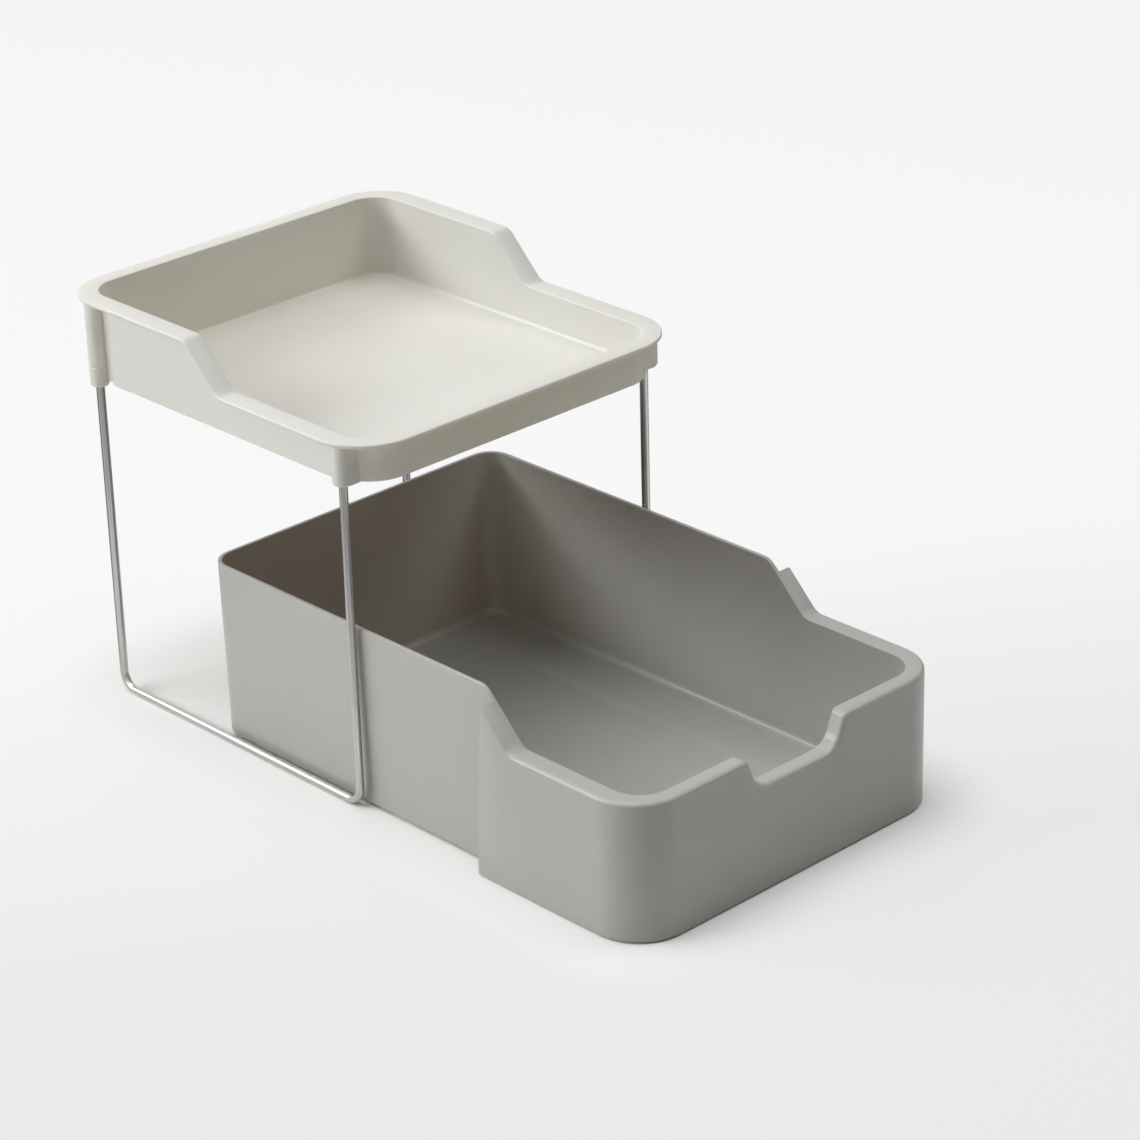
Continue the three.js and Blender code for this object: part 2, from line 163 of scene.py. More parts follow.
def step_down(stations, rim, wall_foot):
    """Cuts the sides of the mesh in edit mode at a slope's stations and lets the rim down along it."""
    for place, _, _ in stations:
        pick("FACE", lambda c, n: abs(c.x) > side_zone and c.z > wall_foot)
        bpy.ops.mesh.bisect(plane_co=(0, place, 0), plane_no=(0, 1, 0))
    for place, drop, turn in stations:
        pick("VERT", lambda c, n: c.z > rim - rim_depth and abs(c.y - place) < same_place)
        bpy.ops.transform.translate(value=(0, 0, -drop))
        bpy.ops.transform.rotate(value=-turn, orient_axis="X", center_override=(0, place, rim - drop))
    foot, full_drop, _ = stations[0]
    pick("VERT", lambda c, n: c.z > rim - rim_depth and c.y < foot - same_place)
    bpy.ops.transform.translate(value=(0, 0, -full_drop))


def finish_mesh(piece):
    """Leaves edit mode and shades a piece smooth, with its sharper edges kept."""
    if bpy.context.mode == "EDIT_MESH":
        bpy.ops.object.mode_set(mode="OBJECT")
    bpy.ops.object.select_all(action="DESELECT")
    piece.select_set(True)
    bpy.context.view_layer.objects.active = piece
    bpy.ops.object.shade_smooth_by_angle(angle=sharp_from)


tray_low, tray_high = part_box("upper_tray")
rim_half, rim_front, rim_rear, rim_top = tray_high.x, tray_low.y, tray_high.y, tray_high.z
tray_wall = 2 * mm
tray_front_wall = 3.8 * mm
rim_under = rim_top - tray_wall
basin_floor = rim_top - 40.3 * mm
basin_under = basin_floor - tray_wall
mouth_half, mouth_front, mouth_rear = rim_half - 10.5 * mm, rim_front + 9.5 * mm, rim_rear - 8.4 * mm
inside_lean = 1.2 * mm
outside_lean = 0.4 * mm
floor_fillet = 2 * mm
tray_slope = slope_stations(
    middle=83.65 * mm, drop=21.6 * mm, angle=math.radians(45), foot_bend=8 * mm, crest_bend=8 * mm, steps=7)

# The outlines of the rim, the mouth in it and the outside of the wall below it: half width, front, rear,
# and the rounds of the front and rear corners.
tray_rim = (rim_half, rim_front, rim_rear, 28 * mm, 24 * mm)
tray_mouth = (mouth_half, mouth_front, mouth_rear, 16 * mm, 15 * mm)
tray_outside = (
    mouth_half + tray_wall, mouth_front - tray_front_wall, mouth_rear + tray_wall, 21 * mm, 17 * mm)

# Each line is an outline, its height and the round of its edge.
tray = skin("tray", (
    (*moved_in(tray_outside, outside_lean), basin_under, 1.2 * mm),
    (*tray_outside, rim_under, 0.4 * mm),
    (*tray_rim, rim_under, 0.6 * mm),
    (*tray_rim, rim_top, 0.7 * mm),
    (*tray_mouth, rim_top, 0.6 * mm),
    (*moved_in(tray_mouth, inside_lean), basin_floor, floor_fillet),
), largest_round=floor_fillet, round_steps=5)
bpy.ops.object.mode_set(mode="EDIT")
step_down(tray_slope, rim=rim_top, wall_foot=basin_floor + 6 * mm)
bpy.ops.object.mode_set(mode="OBJECT")


# Upper tray, the skirts and sockets: each side of the moulding has a panel that hangs from the rim, flush
# with a round front socket, and a round rear socket with a line moulded round it. The wires push into blind
# holes in the sockets from below.
wire_radius = 2 * mm
wire_clearance = 0.35 * mm
socket_x = 92.5 * mm
socket_front = -3.35 * mm
socket_rear = 170.65 * mm
socket_radius = 4.5 * mm
socket_sides = 48
socket_end = rim_top - 42.6 * mm
rear_socket_end = socket_end - 2.4 * mm
socket_round = 1.6 * mm
post_offset = 1.5 * mm
post_x, post_y = socket_x + post_offset, socket_front - post_offset
web_end = 85.5 * mm
web_reach = 7 * mm
web_above_end = 0.4 * mm
skirt_end = rim_top - 38.2 * mm
skirt_rear = 151.65 * mm
skirt_web = 2 * mm
skirt_edge_round = 0.35 * mm
skirt_sharp_from = math.radians(50)
in_rim = rim_top - 1 * mm
bore_radius = wire_radius + wire_clearance
bore_sides = 32
front_hole = 13.35 * mm
rear_hole = 30.35 * mm
near = 1 * mm  # a face this close to a place is the one meant
nearly_level = 0.9  # a level face's normal is up or down by more than this
overlap = 1 * mm  # how far a cutting solid starts before what it cuts
well_past = 5 * mm  # how far it ends beyond it
tray_sliver = 0.045 * mm


def stretch(x, y, z):
    """Extrudes what is selected and moves it."""
    bpy.ops.mesh.extrude_region_move(TRANSFORM_OT_translate={"value": (x, y, z)})


def quarter_round(radius, steps):
    """The steps of a quarter-round that leaves a wall and turns into a floor, as (across, along) pairs."""
    turns = [math.pi / 2 * i / steps for i in range(steps + 1)]
    points = [(radius * (1 - math.cos(t)), radius * math.sin(t)) for t in turns]
    return [(b[0] - a[0], b[1] - a[1]) for a, b in zip(points, points[1:])]


def round_end():
    """Rounds a socket's lower end, which is selected."""
    for across, down in quarter_round(socket_round, steps=5):
        bpy.ops.mesh.inset(thickness=across, depth=down)


# A front socket and its skirt are drawn flat at the skirt's foot: a round post, stretched along a diagonal
# so that it is flush outside, with the skirt behind it, the skirt's rear web and the front web.
bpy.ops.object.select_all(action="DESELECT")
bpy.ops.mesh.primitive_circle_add(
    vertices=socket_sides, radius=socket_radius, fill_type="NGON", location=(-post_x, post_y, skirt_end))
skirts = bpy.context.active_object
skirts.name = "skirts"
bpy.ops.object.transform_apply(location=True, rotation=False, scale=False)
bpy.ops.object.mode_set(mode="EDIT")
pick("VERT", lambda c, n: c.x + post_x + c.y - post_y > same_place)
bpy.ops.transform.translate(value=(post_offset, post_offset, 0))
outer_arc = socket_radius * math.cos(math.radians(46))
pick("EDGE", lambda c, n: c.x < -post_x - outer_arc and c.y > post_y)
stretch(0, skirt_rear - skirt_web - post_y, 0)
bpy.ops.transform.resize(value=(1, 0, 1), center_override=(0, skirt_rear - skirt_web, 0))
stretch(0, skirt_web, 0)
skirt_inside = -post_x - outer_arc - 0.3 * mm
off_corner = 0.1 * mm
pick("EDGE", lambda c, n: (
    skirt_rear - skirt_web < c.y - off_corner and c.y < skirt_rear - off_corner and c.x > skirt_inside))
stretch(web_reach, 0, 0)
pick("EDGE", lambda c, n: c.y < post_y - outer_arc and c.x > -post_x)
stretch(web_reach, 0, 0)
bpy.ops.transform.resize(value=(0, 1, 1), center_override=(-web_end, 0, 0))

# It is raised into the rim and let down along the slope, and the post and the front web grow downwards.
pick("FACE", lambda c, n: True)
stretch(0, 0, in_rim - skirt_end)
bpy.ops.mesh.select_all(action="SELECT")
bpy.ops.mesh.normals_make_consistent(inside=False)
step_down(tray_slope, rim=in_rim, wall_foot=0)
pick("FACE", lambda c, n: n.z < -nearly_level and c.y < socket_front + near)
stretch(0, 0, socket_end + socket_round - skirt_end)
pick("FACE", lambda c, n: n.z < -nearly_level and c.y < post_y - 2 * near)
stretch(0, 0, web_above_end - socket_round)
pick("FACE", lambda c, n: (
    n.z < -nearly_level and abs(c.x + socket_x) < near and abs(c.y - socket_front) < near))
round_end()
bpy.ops.object.mode_set(mode="OBJECT")

# The rear socket grows upwards from its round end, past the line round it and into the rim.
bpy.ops.object.select_all(action="DESELECT")
bpy.ops.mesh.primitive_circle_add(
    vertices=socket_sides, radius=socket_radius, fill_type="NGON",
    location=(-socket_x, socket_rear, rear_socket_end + socket_round))
rear_socket = bpy.context.active_object
rear_socket.name = "rear_socket"
bpy.ops.object.transform_apply(location=True, rotation=False, scale=False)
bpy.ops.object.mode_set(mode="EDIT")
ring_height = 8.6 * mm
ring_slope, ring_face = 0.2 * mm, 0.5 * mm
ring_stands_out = 1 + 0.25 * mm / socket_radius
stretch(0, 0, ring_height - socket_round)
for rise, width in ((ring_slope, ring_stands_out), (ring_face, 1), (ring_slope, 1 / ring_stands_out)):
    stretch(0, 0, rise)
    bpy.ops.transform.resize(value=(width, width, 1), center_override=(-socket_x, socket_rear, 0))
stretch(0, 0, in_rim - rear_socket_end - ring_height - 2 * ring_slope - ring_face)
bpy.ops.mesh.select_all(action="SELECT")
bpy.ops.mesh.normals_make_consistent(inside=False)
pick("FACE", lambda c, n: n.z < -nearly_level and c.z < rear_socket_end + socket_round + 10 * same_place)
round_end()
bpy.ops.object.mode_set(mode="OBJECT")

# Both sides are alike, so they are joined and mirrored.
bpy.ops.object.select_all(action="DESELECT")
rear_socket.select_set(True)
skirts.select_set(True)
bpy.context.view_layer.objects.active = skirts
bpy.ops.object.join()
bpy.ops.object.modifier_add(type="MIRROR")
bpy.ops.object.modifier_apply(modifier="Mirror")
bpy.ops.object.mode_set(mode="EDIT")
bpy.ops.mesh.select_all(action="SELECT")
bpy.ops.mesh.normals_make_consistent(inside=False)
bpy.ops.object.mode_set(mode="OBJECT")


def combine(piece, other, operation):
    """Joins another solid to a piece, or cuts it out, and removes the other."""
    bpy.ops.object.select_all(action="DESELECT")
    piece.select_set(True)
    bpy.context.view_layer.objects.active = piece
    bpy.ops.object.modifier_add(type="BOOLEAN")
    piece.modifiers["Boolean"].operation = operation
    piece.modifiers["Boolean"].object = other
    bpy.ops.object.modifier_apply(modifier="Boolean")
    bpy.data.objects.remove(other)


# What stands in the basin is cut away, the holes are drilled, the edges are rounded, and the skirts and
# sockets become one with the basin.
basin_space = skin("basin_space", (
    (*moved_in(tray_mouth, 0.2 * mm), basin_floor - overlap, 0),
    (*moved_in(tray_mouth, -1 * mm), rim_top + well_past, 0),
), largest_round=1 * mm, round_steps=1)
combine(skirts, basin_space, "DIFFERENCE")

bpy.ops.object.select_all(action="DESELECT")
for place, low, high in ((socket_front, socket_end, socket_end + front_hole),
                         (socket_rear, rear_socket_end, socket_end + rear_hole)):
    for side in (-1, 1):
        bpy.ops.mesh.primitive_cylinder_add(
            vertices=bore_sides, radius=bore_radius, depth=high - low + overlap,
            location=(side * socket_x, place, (high + low - overlap) / 2))
        combine(skirts, bpy.context.active_object, "DIFFERENCE")
bpy.ops.object.modifier_add(type="BEVEL")
skirts.modifiers["Bevel"].width = skirt_edge_round
skirts.modifiers["Bevel"].segments = 2
skirts.modifiers["Bevel"].limit_method = "ANGLE"
skirts.modifiers["Bevel"].angle_limit = skirt_sharp_from
skirts.modifiers["Bevel"].use_clamp_overlap = True
bpy.ops.object.modifier_apply(modifier="Bevel")
combine(tray, skirts, "UNION")
bpy.ops.object.mode_set(mode="EDIT")
bpy.ops.mesh.select_all(action="SELECT")
bpy.ops.mesh.remove_doubles(threshold=tray_sliver)
finish_mesh(tray)

# The grain of a moulded plastic: fine spark-eroded pits from the mould, faint flow mottling in the colour
# and slow changes of gloss. Both mouldings use it, each with its own colours.
moulded = bpy.data.node_groups.new("moulded_skin", "ShaderNodeTree")
for name, way, kind in (
        ("Place", "INPUT", "Vector"), ("Colour", "INPUT", "Color"), ("Flow Colour", "INPUT", "Color"),
        ("Least Roughness", "INPUT", "Float"), ("Colour", "OUTPUT", "Color"),
        ("Roughness", "OUTPUT", "Float"), ("Height", "OUTPUT", "Float")):
    moulded.interface.new_socket(name=name, in_out=way, socket_type="NodeSocket" + kind)


def node(tree, kind, **values):
    """A node with its properties set, and its inputs where the name is one of theirs."""
    made = tree.nodes.new(kind)
    for name, value in values.items():
        socket = name.replace("_", " ")
        if socket in made.inputs:
            made.inputs[socket].default_value = value
        else:
            setattr(made, name, value)
    return made


given = node(moulded, "NodeGroupInput")
put_out = node(moulded, "NodeGroupOutput")
pits = node(moulded, "ShaderNodeTexNoise", Scale=2600.0, Detail=2.0, Roughness=0.6)
flow = node(moulded, "ShaderNodeTexNoise", Scale=14.0, Detail=4.0, Roughness=0.55)
haze = node(moulded, "ShaderNodeTexNoise", Scale=55.0, Detail=3.0, Roughness=0.6)
flow_range = node(moulded, "ShaderNodeMapRange", From_Min=0.35, From_Max=0.65)
mottle = node(moulded, "ShaderNodeMix", data_type="RGBA")
haze_share = 0.16
dulled = node(moulded, "ShaderNodeMath", operation="MULTIPLY_ADD")
dulled.inputs[1].default_value = haze_share
for texture in (pits, flow, haze):
    moulded.links.new(given.outputs["Place"], texture.inputs["Vector"])
moulded.links.new(flow.outputs["Fac"], flow_range.inputs["Value"])
moulded.links.new(flow_range.outputs["Result"], mottle.inputs["Factor"])
moulded.links.new(given.outputs["Colour"], mottle.inputs["A"])
moulded.links.new(given.outputs["Flow Colour"], mottle.inputs["B"])
moulded.links.new(haze.outputs["Fac"], dulled.inputs[0])
moulded.links.new(given.outputs["Least Roughness"], dulled.inputs[2])
moulded.links.new(mottle.outputs["Result"], put_out.inputs["Colour"])
moulded.links.new(dulled.outputs["Value"], put_out.inputs["Roughness"])
moulded.links.new(pits.outputs["Fac"], put_out.inputs["Height"])


def moulded_plastic(name, colour, flow_colour, through):
    """A satin moulded plastic that lets a little light through its thin walls."""
    plastic = bpy.data.materials.new(name)
    plastic.use_nodes = True
    tree = plastic.node_tree
    shader = tree.nodes["Principled BSDF"]
    place = node(tree, "ShaderNodeTexCoord")
    surface = node(tree, "ShaderNodeGroup", node_tree=moulded)
    surface.inputs["Colour"].default_value = (*colour, 1)
    surface.inputs["Flow Colour"].default_value = (*flow_colour, 1)
    surface.inputs["Least Roughness"].default_value = 0.28
    bump = node(tree, "ShaderNodeBump", Strength=0.35, Distance=0.04 * mm)
    tree.links.new(place.outputs["Object"], surface.inputs["Place"])
    tree.links.new(surface.outputs["Colour"], shader.inputs["Base Color"])
    tree.links.new(surface.outputs["Roughness"], shader.inputs["Roughness"])
    tree.links.new(surface.outputs["Height"], bump.inputs["Height"])
    tree.links.new(bump.outputs["Normal"], shader.inputs["Normal"])
    shader.inputs["IOR"].default_value = 1.49
    glow = node(tree, "ShaderNodeBsdfTranslucent", Color=(*through, 1))
    both = node(tree, "ShaderNodeAddShader")
    tree.links.new(shader.outputs["BSDF"], both.inputs[0])
    tree.links.new(glow.outputs["BSDF"], both.inputs[1])
    tree.links.new(both.outputs["Shader"], tree.nodes["Material Output"].inputs["Surface"])
    return plastic


cream = moulded_plastic(
    "cream_plastic", colour=(0.62, 0.625, 0.61), flow_colour=(0.605, 0.607, 0.588),
    through=(0.17, 0.145, 0.045))
tray.data.materials.clear()
tray.data.materials.append(cream)
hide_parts("upper_tray")
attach(tray, "frame")


# Wire legs: each side has one 4 mm stainless wire bent to a U, which stands on its lower run. Its two ends
# go up into the tray's sockets. It is drawn wire, so fine lines run along it.
wire_sides = 32
bend_radius = 8 * mm
bend_steps = 12
bend_height = wire_radius + bend_radius
bend_seam = 0.01 * mm
front_end = socket_end + front_hole - wire_clearance
rear_end = socket_end + rear_hole - wire_clearance
rear_bend, front_bend = socket_rear - bend_radius, socket_front + bend_radius

# One wire is drawn from its rear end down, round both bends and up to its front end.
bpy.ops.object.select_all(action="DESELECT")
bpy.ops.mesh.primitive_circle_add(
    vertices=wire_sides, radius=wire_radius, fill_type="NGON", location=(-socket_x, socket_rear, rear_end))
left_wire = bpy.context.active_object
left_wire.name = "left_wire"
bpy.ops.object.transform_apply(location=True, rotation=False, scale=False)
bpy.ops.object.mode_set(mode="EDIT")
stretch(0, 0, bend_height - rear_end)
bpy.ops.mesh.spin(
    steps=bend_steps, angle=math.pi / 2, center=(-socket_x, rear_bend, bend_height), axis=(1, 0, 0))
stretch(0, socket_front - socket_rear + 2 * bend_radius, 0)
bpy.ops.mesh.spin(
    steps=bend_steps, angle=math.pi / 2, center=(-socket_x, front_bend, bend_height), axis=(1, 0, 0))
stretch(0, 0, front_end - bend_height)
bpy.ops.mesh.select_all(action="SELECT")
bpy.ops.mesh.remove_doubles(threshold=bend_seam)
bpy.ops.mesh.normals_make_consistent(inside=False)
finish_mesh(left_wire)

# The wire's own map: once round the wire across, and upwards the metres along it from its rear end.
lengths = left_wire.data.uv_layers.new(name="along_wire")
upright = rear_end - bend_height
quarter = bend_radius * math.pi / 2
lower_run = socket_rear - socket_front - 2 * bend_radius


def place_on_wire(c):
    """The angle round the wire at a point of its skin, and the length along it."""
    if c.z > bend_height and c.y > (socket_rear + socket_front) / 2:
        return math.atan2(c.x + socket_x, c.y - socket_rear), rear_end - c.z
    if c.z > bend_height:
        angle = math.pi - math.atan2(c.x + socket_x, c.y - socket_front)
        return angle, upright + 2 * quarter + lower_run + c.z - bend_height
    below = bend_height - c.z
    if c.y > rear_bend:
        from_bend = math.hypot(c.y - rear_bend, below)
        along = upright + bend_radius * math.atan2(below, c.y - rear_bend)
    elif c.y < front_bend:
        from_bend = math.hypot(front_bend - c.y, below)
        along = upright + 2 * quarter + lower_run - bend_radius * math.atan2(below, front_bend - c.y)
    else:
        from_bend = below
        along = upright + quarter + rear_bend - c.y
    return math.atan2(c.x + socket_x, from_bend - bend_radius), along


for loop in left_wire.data.loops:
    round_it, along = place_on_wire(left_wire.data.vertices[loop.vertex_index].co)
    lengths.data[loop.index].uv = (round_it / (2 * math.pi) + 0.5, along)

bpy.ops.object.duplicate()
right_wire = bpy.context.active_object
right_wire.name = "right_wire"
bpy.ops.transform.translate(value=(2 * socket_x, 0, 0))
bpy.ops.object.transform_apply(location=True, rotation=False, scale=False)

stainless = bpy.data.materials.new("drawn_stainless")
stainless.use_nodes = True
tree = stainless.node_tree
shader = tree.nodes["Principled BSDF"]
wire_map = node(tree, "ShaderNodeUVMap", uv_map="along_wire")
stretch_map = node(tree, "ShaderNodeMapping", Scale=(34.0, 16.0, 1.0))
streaks = node(tree, "ShaderNodeTexNoise", Scale=1.0, Detail=5.0, Roughness=0.7)
steel = node(tree, "ShaderNodeMix", data_type="RGBA")
steel.inputs["A"].default_value = (0.38, 0.37, 0.355, 1)
steel.inputs["B"].default_value = (0.66, 0.65, 0.63, 1)
spread = node(tree, "ShaderNodeMapRange", From_Min=0.3, From_Max=0.7)
dulled = node(tree, "ShaderNodeMapRange", From_Min=0.3, From_Max=0.7, To_Min=0.28, To_Max=0.16)
lines = node(tree, "ShaderNodeBump", Strength=0.25, Distance=0.05 * mm)
tree.links.new(wire_map.outputs["UV"], stretch_map.inputs["Vector"])
tree.links.new(stretch_map.outputs["Vector"], streaks.inputs["Vector"])
tree.links.new(streaks.outputs["Fac"], spread.inputs["Value"])
tree.links.new(streaks.outputs["Fac"], dulled.inputs["Value"])
tree.links.new(spread.outputs["Result"], steel.inputs["Factor"])
tree.links.new(steel.outputs["Result"], shader.inputs["Base Color"])
tree.links.new(dulled.outputs["Result"], shader.inputs["Roughness"])
tree.links.new(streaks.outputs["Fac"], lines.inputs["Height"])
tree.links.new(lines.outputs["Normal"], shader.inputs["Normal"])
shader.inputs["Metallic"].default_value = 1.0
for wire, leg in ((left_wire, "left_leg"), (right_wire, "right_leg")):
    wire.data.materials.clear()
    wire.data.materials.append(stainless)
    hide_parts(leg)
    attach(wire, "frame")


# Drawer: one warm grey polypropylene moulding. A deep tub with thin leaning walls carries a flat rim, a
# finger scoop and a second, outer wall round its low front, open below. It slides on the worktop on the
# pressed-down middle of its floor.
drawer_low, drawer_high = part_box("drawer")
drawer_front, drawer_rear, drawer_top = drawer_low.y, drawer_high.y, drawer_high.z
cover_half = drawer_high.x
cover_wall = 2 * mm
cover_under = drawer_top - cover_wall
cover_foot = 0.8 * mm
tub_half, tub_front = cover_half - 8 * mm, drawer_front + 6.2 * mm
tub_wall = 2 * mm
tub_lean = 1.1 * mm
tub_fillet = 4 * mm
ledge_under = 1 * mm
ledge = 3.2 * mm
pressed_depth = 1 * mm
pressed_slope = 5.4 * mm
drawer_wall_foot = 8 * mm
drawer_sliver = 0.006 * mm
drawer_slope = slope_stations(
    middle=drawer_front + 89.6 * mm, drop=22.8 * mm, angle=math.radians(45),
    foot_bend=8 * mm, crest_bend=8 * mm, steps=7)
scoop = slope_stations(
    middle=27.3 * mm, drop=15.6 * mm, angle=math.radians(68),
    foot_bend=10 * mm, crest_bend=3.4 * mm, steps=8)

# The outlines of the tub, of the rim and outer wall, which run on past the rear until they are cut off, and
# of the pressed-down middle of the floor.
tub = (tub_half, tub_front, drawer_rear, 17 * mm, 12 * mm)
cover = (cover_half, drawer_front, drawer_rear + 8 * mm, 25 * mm, 20 * mm)
pressed = (59.6 * mm, drawer_front + 36.2 * mm, drawer_rear - 30 * mm, 12 * mm, 12 * mm)

drawer = skin("drawer_tub", (
    (*moved_in(pressed, pressed_slope), 0, 1 * mm),
    (*pressed, ledge_under, 1 * mm),
    (*moved_in(tub, tub_lean), ledge_under, 2 * mm),
    (*tub, cover_under, 0),
    (*moved_in(cover, cover_wall), cover_under, 1 * mm),
    (*moved_in(cover, cover_wall), cover_foot, 0.4 * mm),
    (*cover, cover_foot, 0.5 * mm),
    (*cover, drawer_top, 2.2 * mm),
    (*moved_in(tub, tub_wall), drawer_top, 0.5 * mm),
    (*moved_in(tub, tub_wall + tub_lean), ledge, tub_fillet),
    (*pressed, ledge, 0.4 * mm),
    (*moved_in(pressed, pressed_slope), ledge - pressed_depth, 0.4 * mm),
), largest_round=tub_fillet, round_steps=6)

# The rim is let down along the slope at the sides, and again at the scoop in the front.
bpy.ops.object.mode_set(mode="EDIT")
step_down(drawer_slope, rim=drawer_top, wall_foot=drawer_wall_foot)
front_rim = drawer_top - drawer_slope[0][1]
rim_inside = drawer_front + 8.3 * mm


def in_front_rim(c):
    """True for a place in the rim along the drawer's front."""
    return c.y < rim_inside and c.z > front_rim - rim_depth


for place, _, _ in scoop:
    for side in (-1, 1):
        pick("FACE", lambda c, n: c.y < rim_inside and c.z > drawer_wall_foot)
        bpy.ops.mesh.bisect(plane_co=(side * place, 0, 0), plane_no=(1, 0, 0))
for place, drop, turn in scoop:
    for side in (-1, 1):
        pick("VERT", lambda c, n: in_front_rim(c) and abs(c.x - side * place) < same_place)
        bpy.ops.transform.translate(value=(0, 0, -drop))
        bpy.ops.transform.rotate(
            value=side * turn, orient_axis="Y", center_override=(side * place, 0, front_rim - drop))
scoop_foot, scoop_drop, _ = scoop[0]
pick("VERT", lambda c, n: in_front_rim(c) and abs(c.x) < scoop_foot - same_place)
bpy.ops.transform.translate(value=(0, 0, -scoop_drop))
bpy.ops.object.mode_set(mode="OBJECT")

# Behind the front the tub stands alone: the rim and the outer wall are cut away outside it, on a plane that
# leans back towards the foot.
cover_end = drawer_front + 95.6 * mm
cover_lean = 4.8 * mm
end_height = front_rim + 17.4 * mm
offcut_low, offcut_high = -well_past, drawer_top + well_past
offcut_reach = 1.3
offcut = skin("offcut", (
    (*tub, offcut_low, 0),
    (*tub, offcut_high, 0),
), largest_round=1 * mm, round_steps=1)
bpy.ops.object.mode_set(mode="EDIT")
pick("FACE", lambda c, n: abs(n.z) > nearly_level)
bpy.ops.mesh.delete(type="FACE")
for height in (offcut_low, offcut_high):
    pick("EDGE", lambda c, n: abs(c.z - height) < same_place)
    stretch(0, 0, 0)
    bpy.ops.transform.resize(
        value=(offcut_reach, offcut_reach, 1),
        center_override=(0, (drawer_front + drawer_rear) / 2, height))
pick_open_edge()
bpy.ops.mesh.bridge_edge_loops()
bpy.ops.mesh.select_all(action="SELECT")
bpy.ops.mesh.normals_make_consistent(inside=False)
bpy.ops.mesh.bisect(
    plane_co=(0, cover_end, end_height), plane_no=(0, end_height, cover_lean),
    use_fill=True, clear_inner=True)
bpy.ops.mesh.select_all(action="SELECT")
bpy.ops.mesh.normals_make_consistent(inside=False)
bpy.ops.object.mode_set(mode="OBJECT")
combine(drawer, offcut, "DIFFERENCE")
bpy.ops.object.mode_set(mode="EDIT")
bpy.ops.mesh.select_all(action="SELECT")
bpy.ops.mesh.remove_doubles(threshold=drawer_sliver)
soften_from = math.radians(42)


def soften(width, steps, test):
    """Rounds the sharp edges that pass a test."""
    pick("EDGE", test)
    work = bmesh.from_edit_mesh(bpy.context.edit_object.data)
    wanted = {edge.index for edge in work.edges if edge.select}
    bpy.ops.mesh.select_all(action="DESELECT")
    bpy.ops.mesh.edges_select_sharp(sharpness=soften_from)
    work = bmesh.from_edit_mesh(bpy.context.edit_object.data)
    for edge in work.edges:
        edge.select_set(edge.select and edge.index in wanted)
    work.select_flush_mode()
    bmesh.update_edit_mesh(bpy.context.edit_object.data)
    bpy.ops.mesh.bevel(offset=width, segments=steps, affect="EDGES", clamp_overlap=True)


# The cut leaves three kinds of sharp edge: the steep ends of the outer wall, the tub's top edge behind
# them, and the ends of the rim.
soften(width=0.9 * mm, steps=3, test=lambda c, n: (
    c.y > cover_end - 0.1 * mm and abs(c.x) > cover_half - 1.2 * mm and abs(n.z) > 0.7))
soften(width=0.4 * mm, steps=3, test=lambda c, n: (
    c.y > cover_end + 0.5 * mm and abs(c.x) < tub_half + 0.05 * mm and c.z > end_height))
soften(width=0.3 * mm, steps=2, test=lambda c, n: (
    abs(c.y - cover_end) < 0.05 * mm and abs(c.x) > tub_half + near and c.z > end_height - near))
finish_mesh(drawer)

warm_grey = moulded_plastic(
    "warm_grey_plastic", colour=(0.405, 0.413, 0.395), flow_colour=(0.39, 0.398, 0.379),
    through=(0.13, 0.075, 0.005))
drawer.data.materials.clear()
drawer.data.materials.append(warm_grey)
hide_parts("drawer")
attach(drawer, "drawer")


# Studio: a pale seamless paper floor with a painted shade that makes it a little greyer towards the camera,
# under white surroundings. A wide soft light stands low at the rear left with a weak one beside it, a large
# one hangs above, and a weak one stands high at the front right.
floor_size = 24
bpy.ops.object.select_all(action="DESELECT")
bpy.ops.mesh.primitive_plane_add(size=floor_size, location=(0, 0, 0))
floor = bpy.context.active_object
floor.name = "floor"
paper = bpy.data.materials.new("pale_paper")
paper.use_nodes = True
tree = paper.node_tree
shader = tree.nodes["Principled BSDF"]
paper_colour = node(tree, "ShaderNodeMix", data_type="RGBA")
paper_colour.inputs["A"].default_value = (0.82, 0.82, 0.81, 1)
paper_colour.inputs["B"].default_value = (0.93, 0.93, 0.92, 1)
tree.links.new(paper_colour.outputs["Result"], shader.inputs["Base Color"])
shader.inputs["Roughness"].default_value = 0.9
shader.inputs["Specular IOR Level"].default_value = 0.1
spot = node(tree, "ShaderNodeTexCoord")


def outside(middle, half, corner):
    """How far a spot on the floor lies outside a rectangle with round corners."""
    aside = node(tree, "ShaderNodeVectorMath", operation="SUBTRACT")
    aside.inputs[1].default_value = (*middle, 0)
    either_way = node(tree, "ShaderNodeVectorMath", operation="ABSOLUTE")
    past = node(tree, "ShaderNodeVectorMath", operation="SUBTRACT")
    past.inputs[1].default_value = (half[0] - corner, half[1] - corner, 0)
    beyond = node(tree, "ShaderNodeVectorMath", operation="MAXIMUM")
    beyond.inputs[1].default_value = (0, 0, 0)
    far = node(tree, "ShaderNodeVectorMath", operation="LENGTH")
    away = node(tree, "ShaderNodeMath", operation="SUBTRACT")
    away.inputs[1].default_value = corner
    tree.links.new(spot.outputs["Object"], aside.inputs[0])
    tree.links.new(aside.outputs["Vector"], either_way.inputs[0])
    tree.links.new(either_way.outputs["Vector"], past.inputs[0])
    tree.links.new(past.outputs["Vector"], beyond.inputs[0])
    tree.links.new(beyond.outputs["Vector"], far.inputs[0])
    tree.links.new(far.outputs["Value"], away.inputs[0])
    return away.outputs["Value"]
